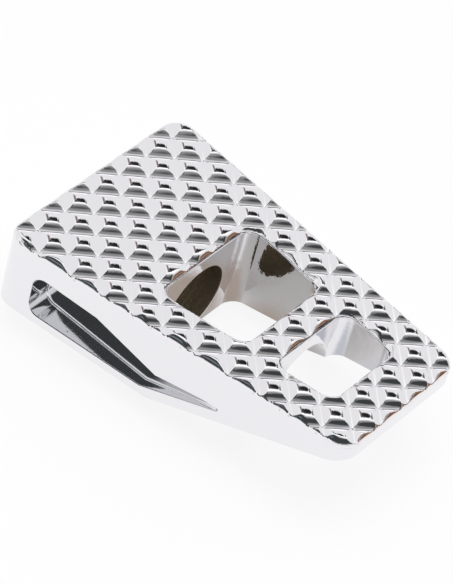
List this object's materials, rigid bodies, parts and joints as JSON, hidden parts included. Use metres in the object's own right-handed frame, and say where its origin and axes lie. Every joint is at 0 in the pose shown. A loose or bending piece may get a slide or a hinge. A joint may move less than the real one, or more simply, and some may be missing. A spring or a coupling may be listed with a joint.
{
  "type": "motorcycle brake pedal pad",
  "caption": "Wedge-shaped rear brake pedal pad with a studded tread, see-through windows and a bore that slides onto the lever's round stub.",
  "frame": {"origin": "on the stub bore's axis, in the plane of the wide end's face", "axes": "+X from the wide end to the narrow end along the bore, +Y across the pad, +Z out of the tread"},
  "size_m": [0.0886, 0.0572, 0.0273],
  "materials": {
    "pad_chrome": "mirror-polished chrome plating over machined metal"
  },
  "bodies": {
    "root": {"pedal_pad": "pad_chrome"}
  },
  "joints": []
}
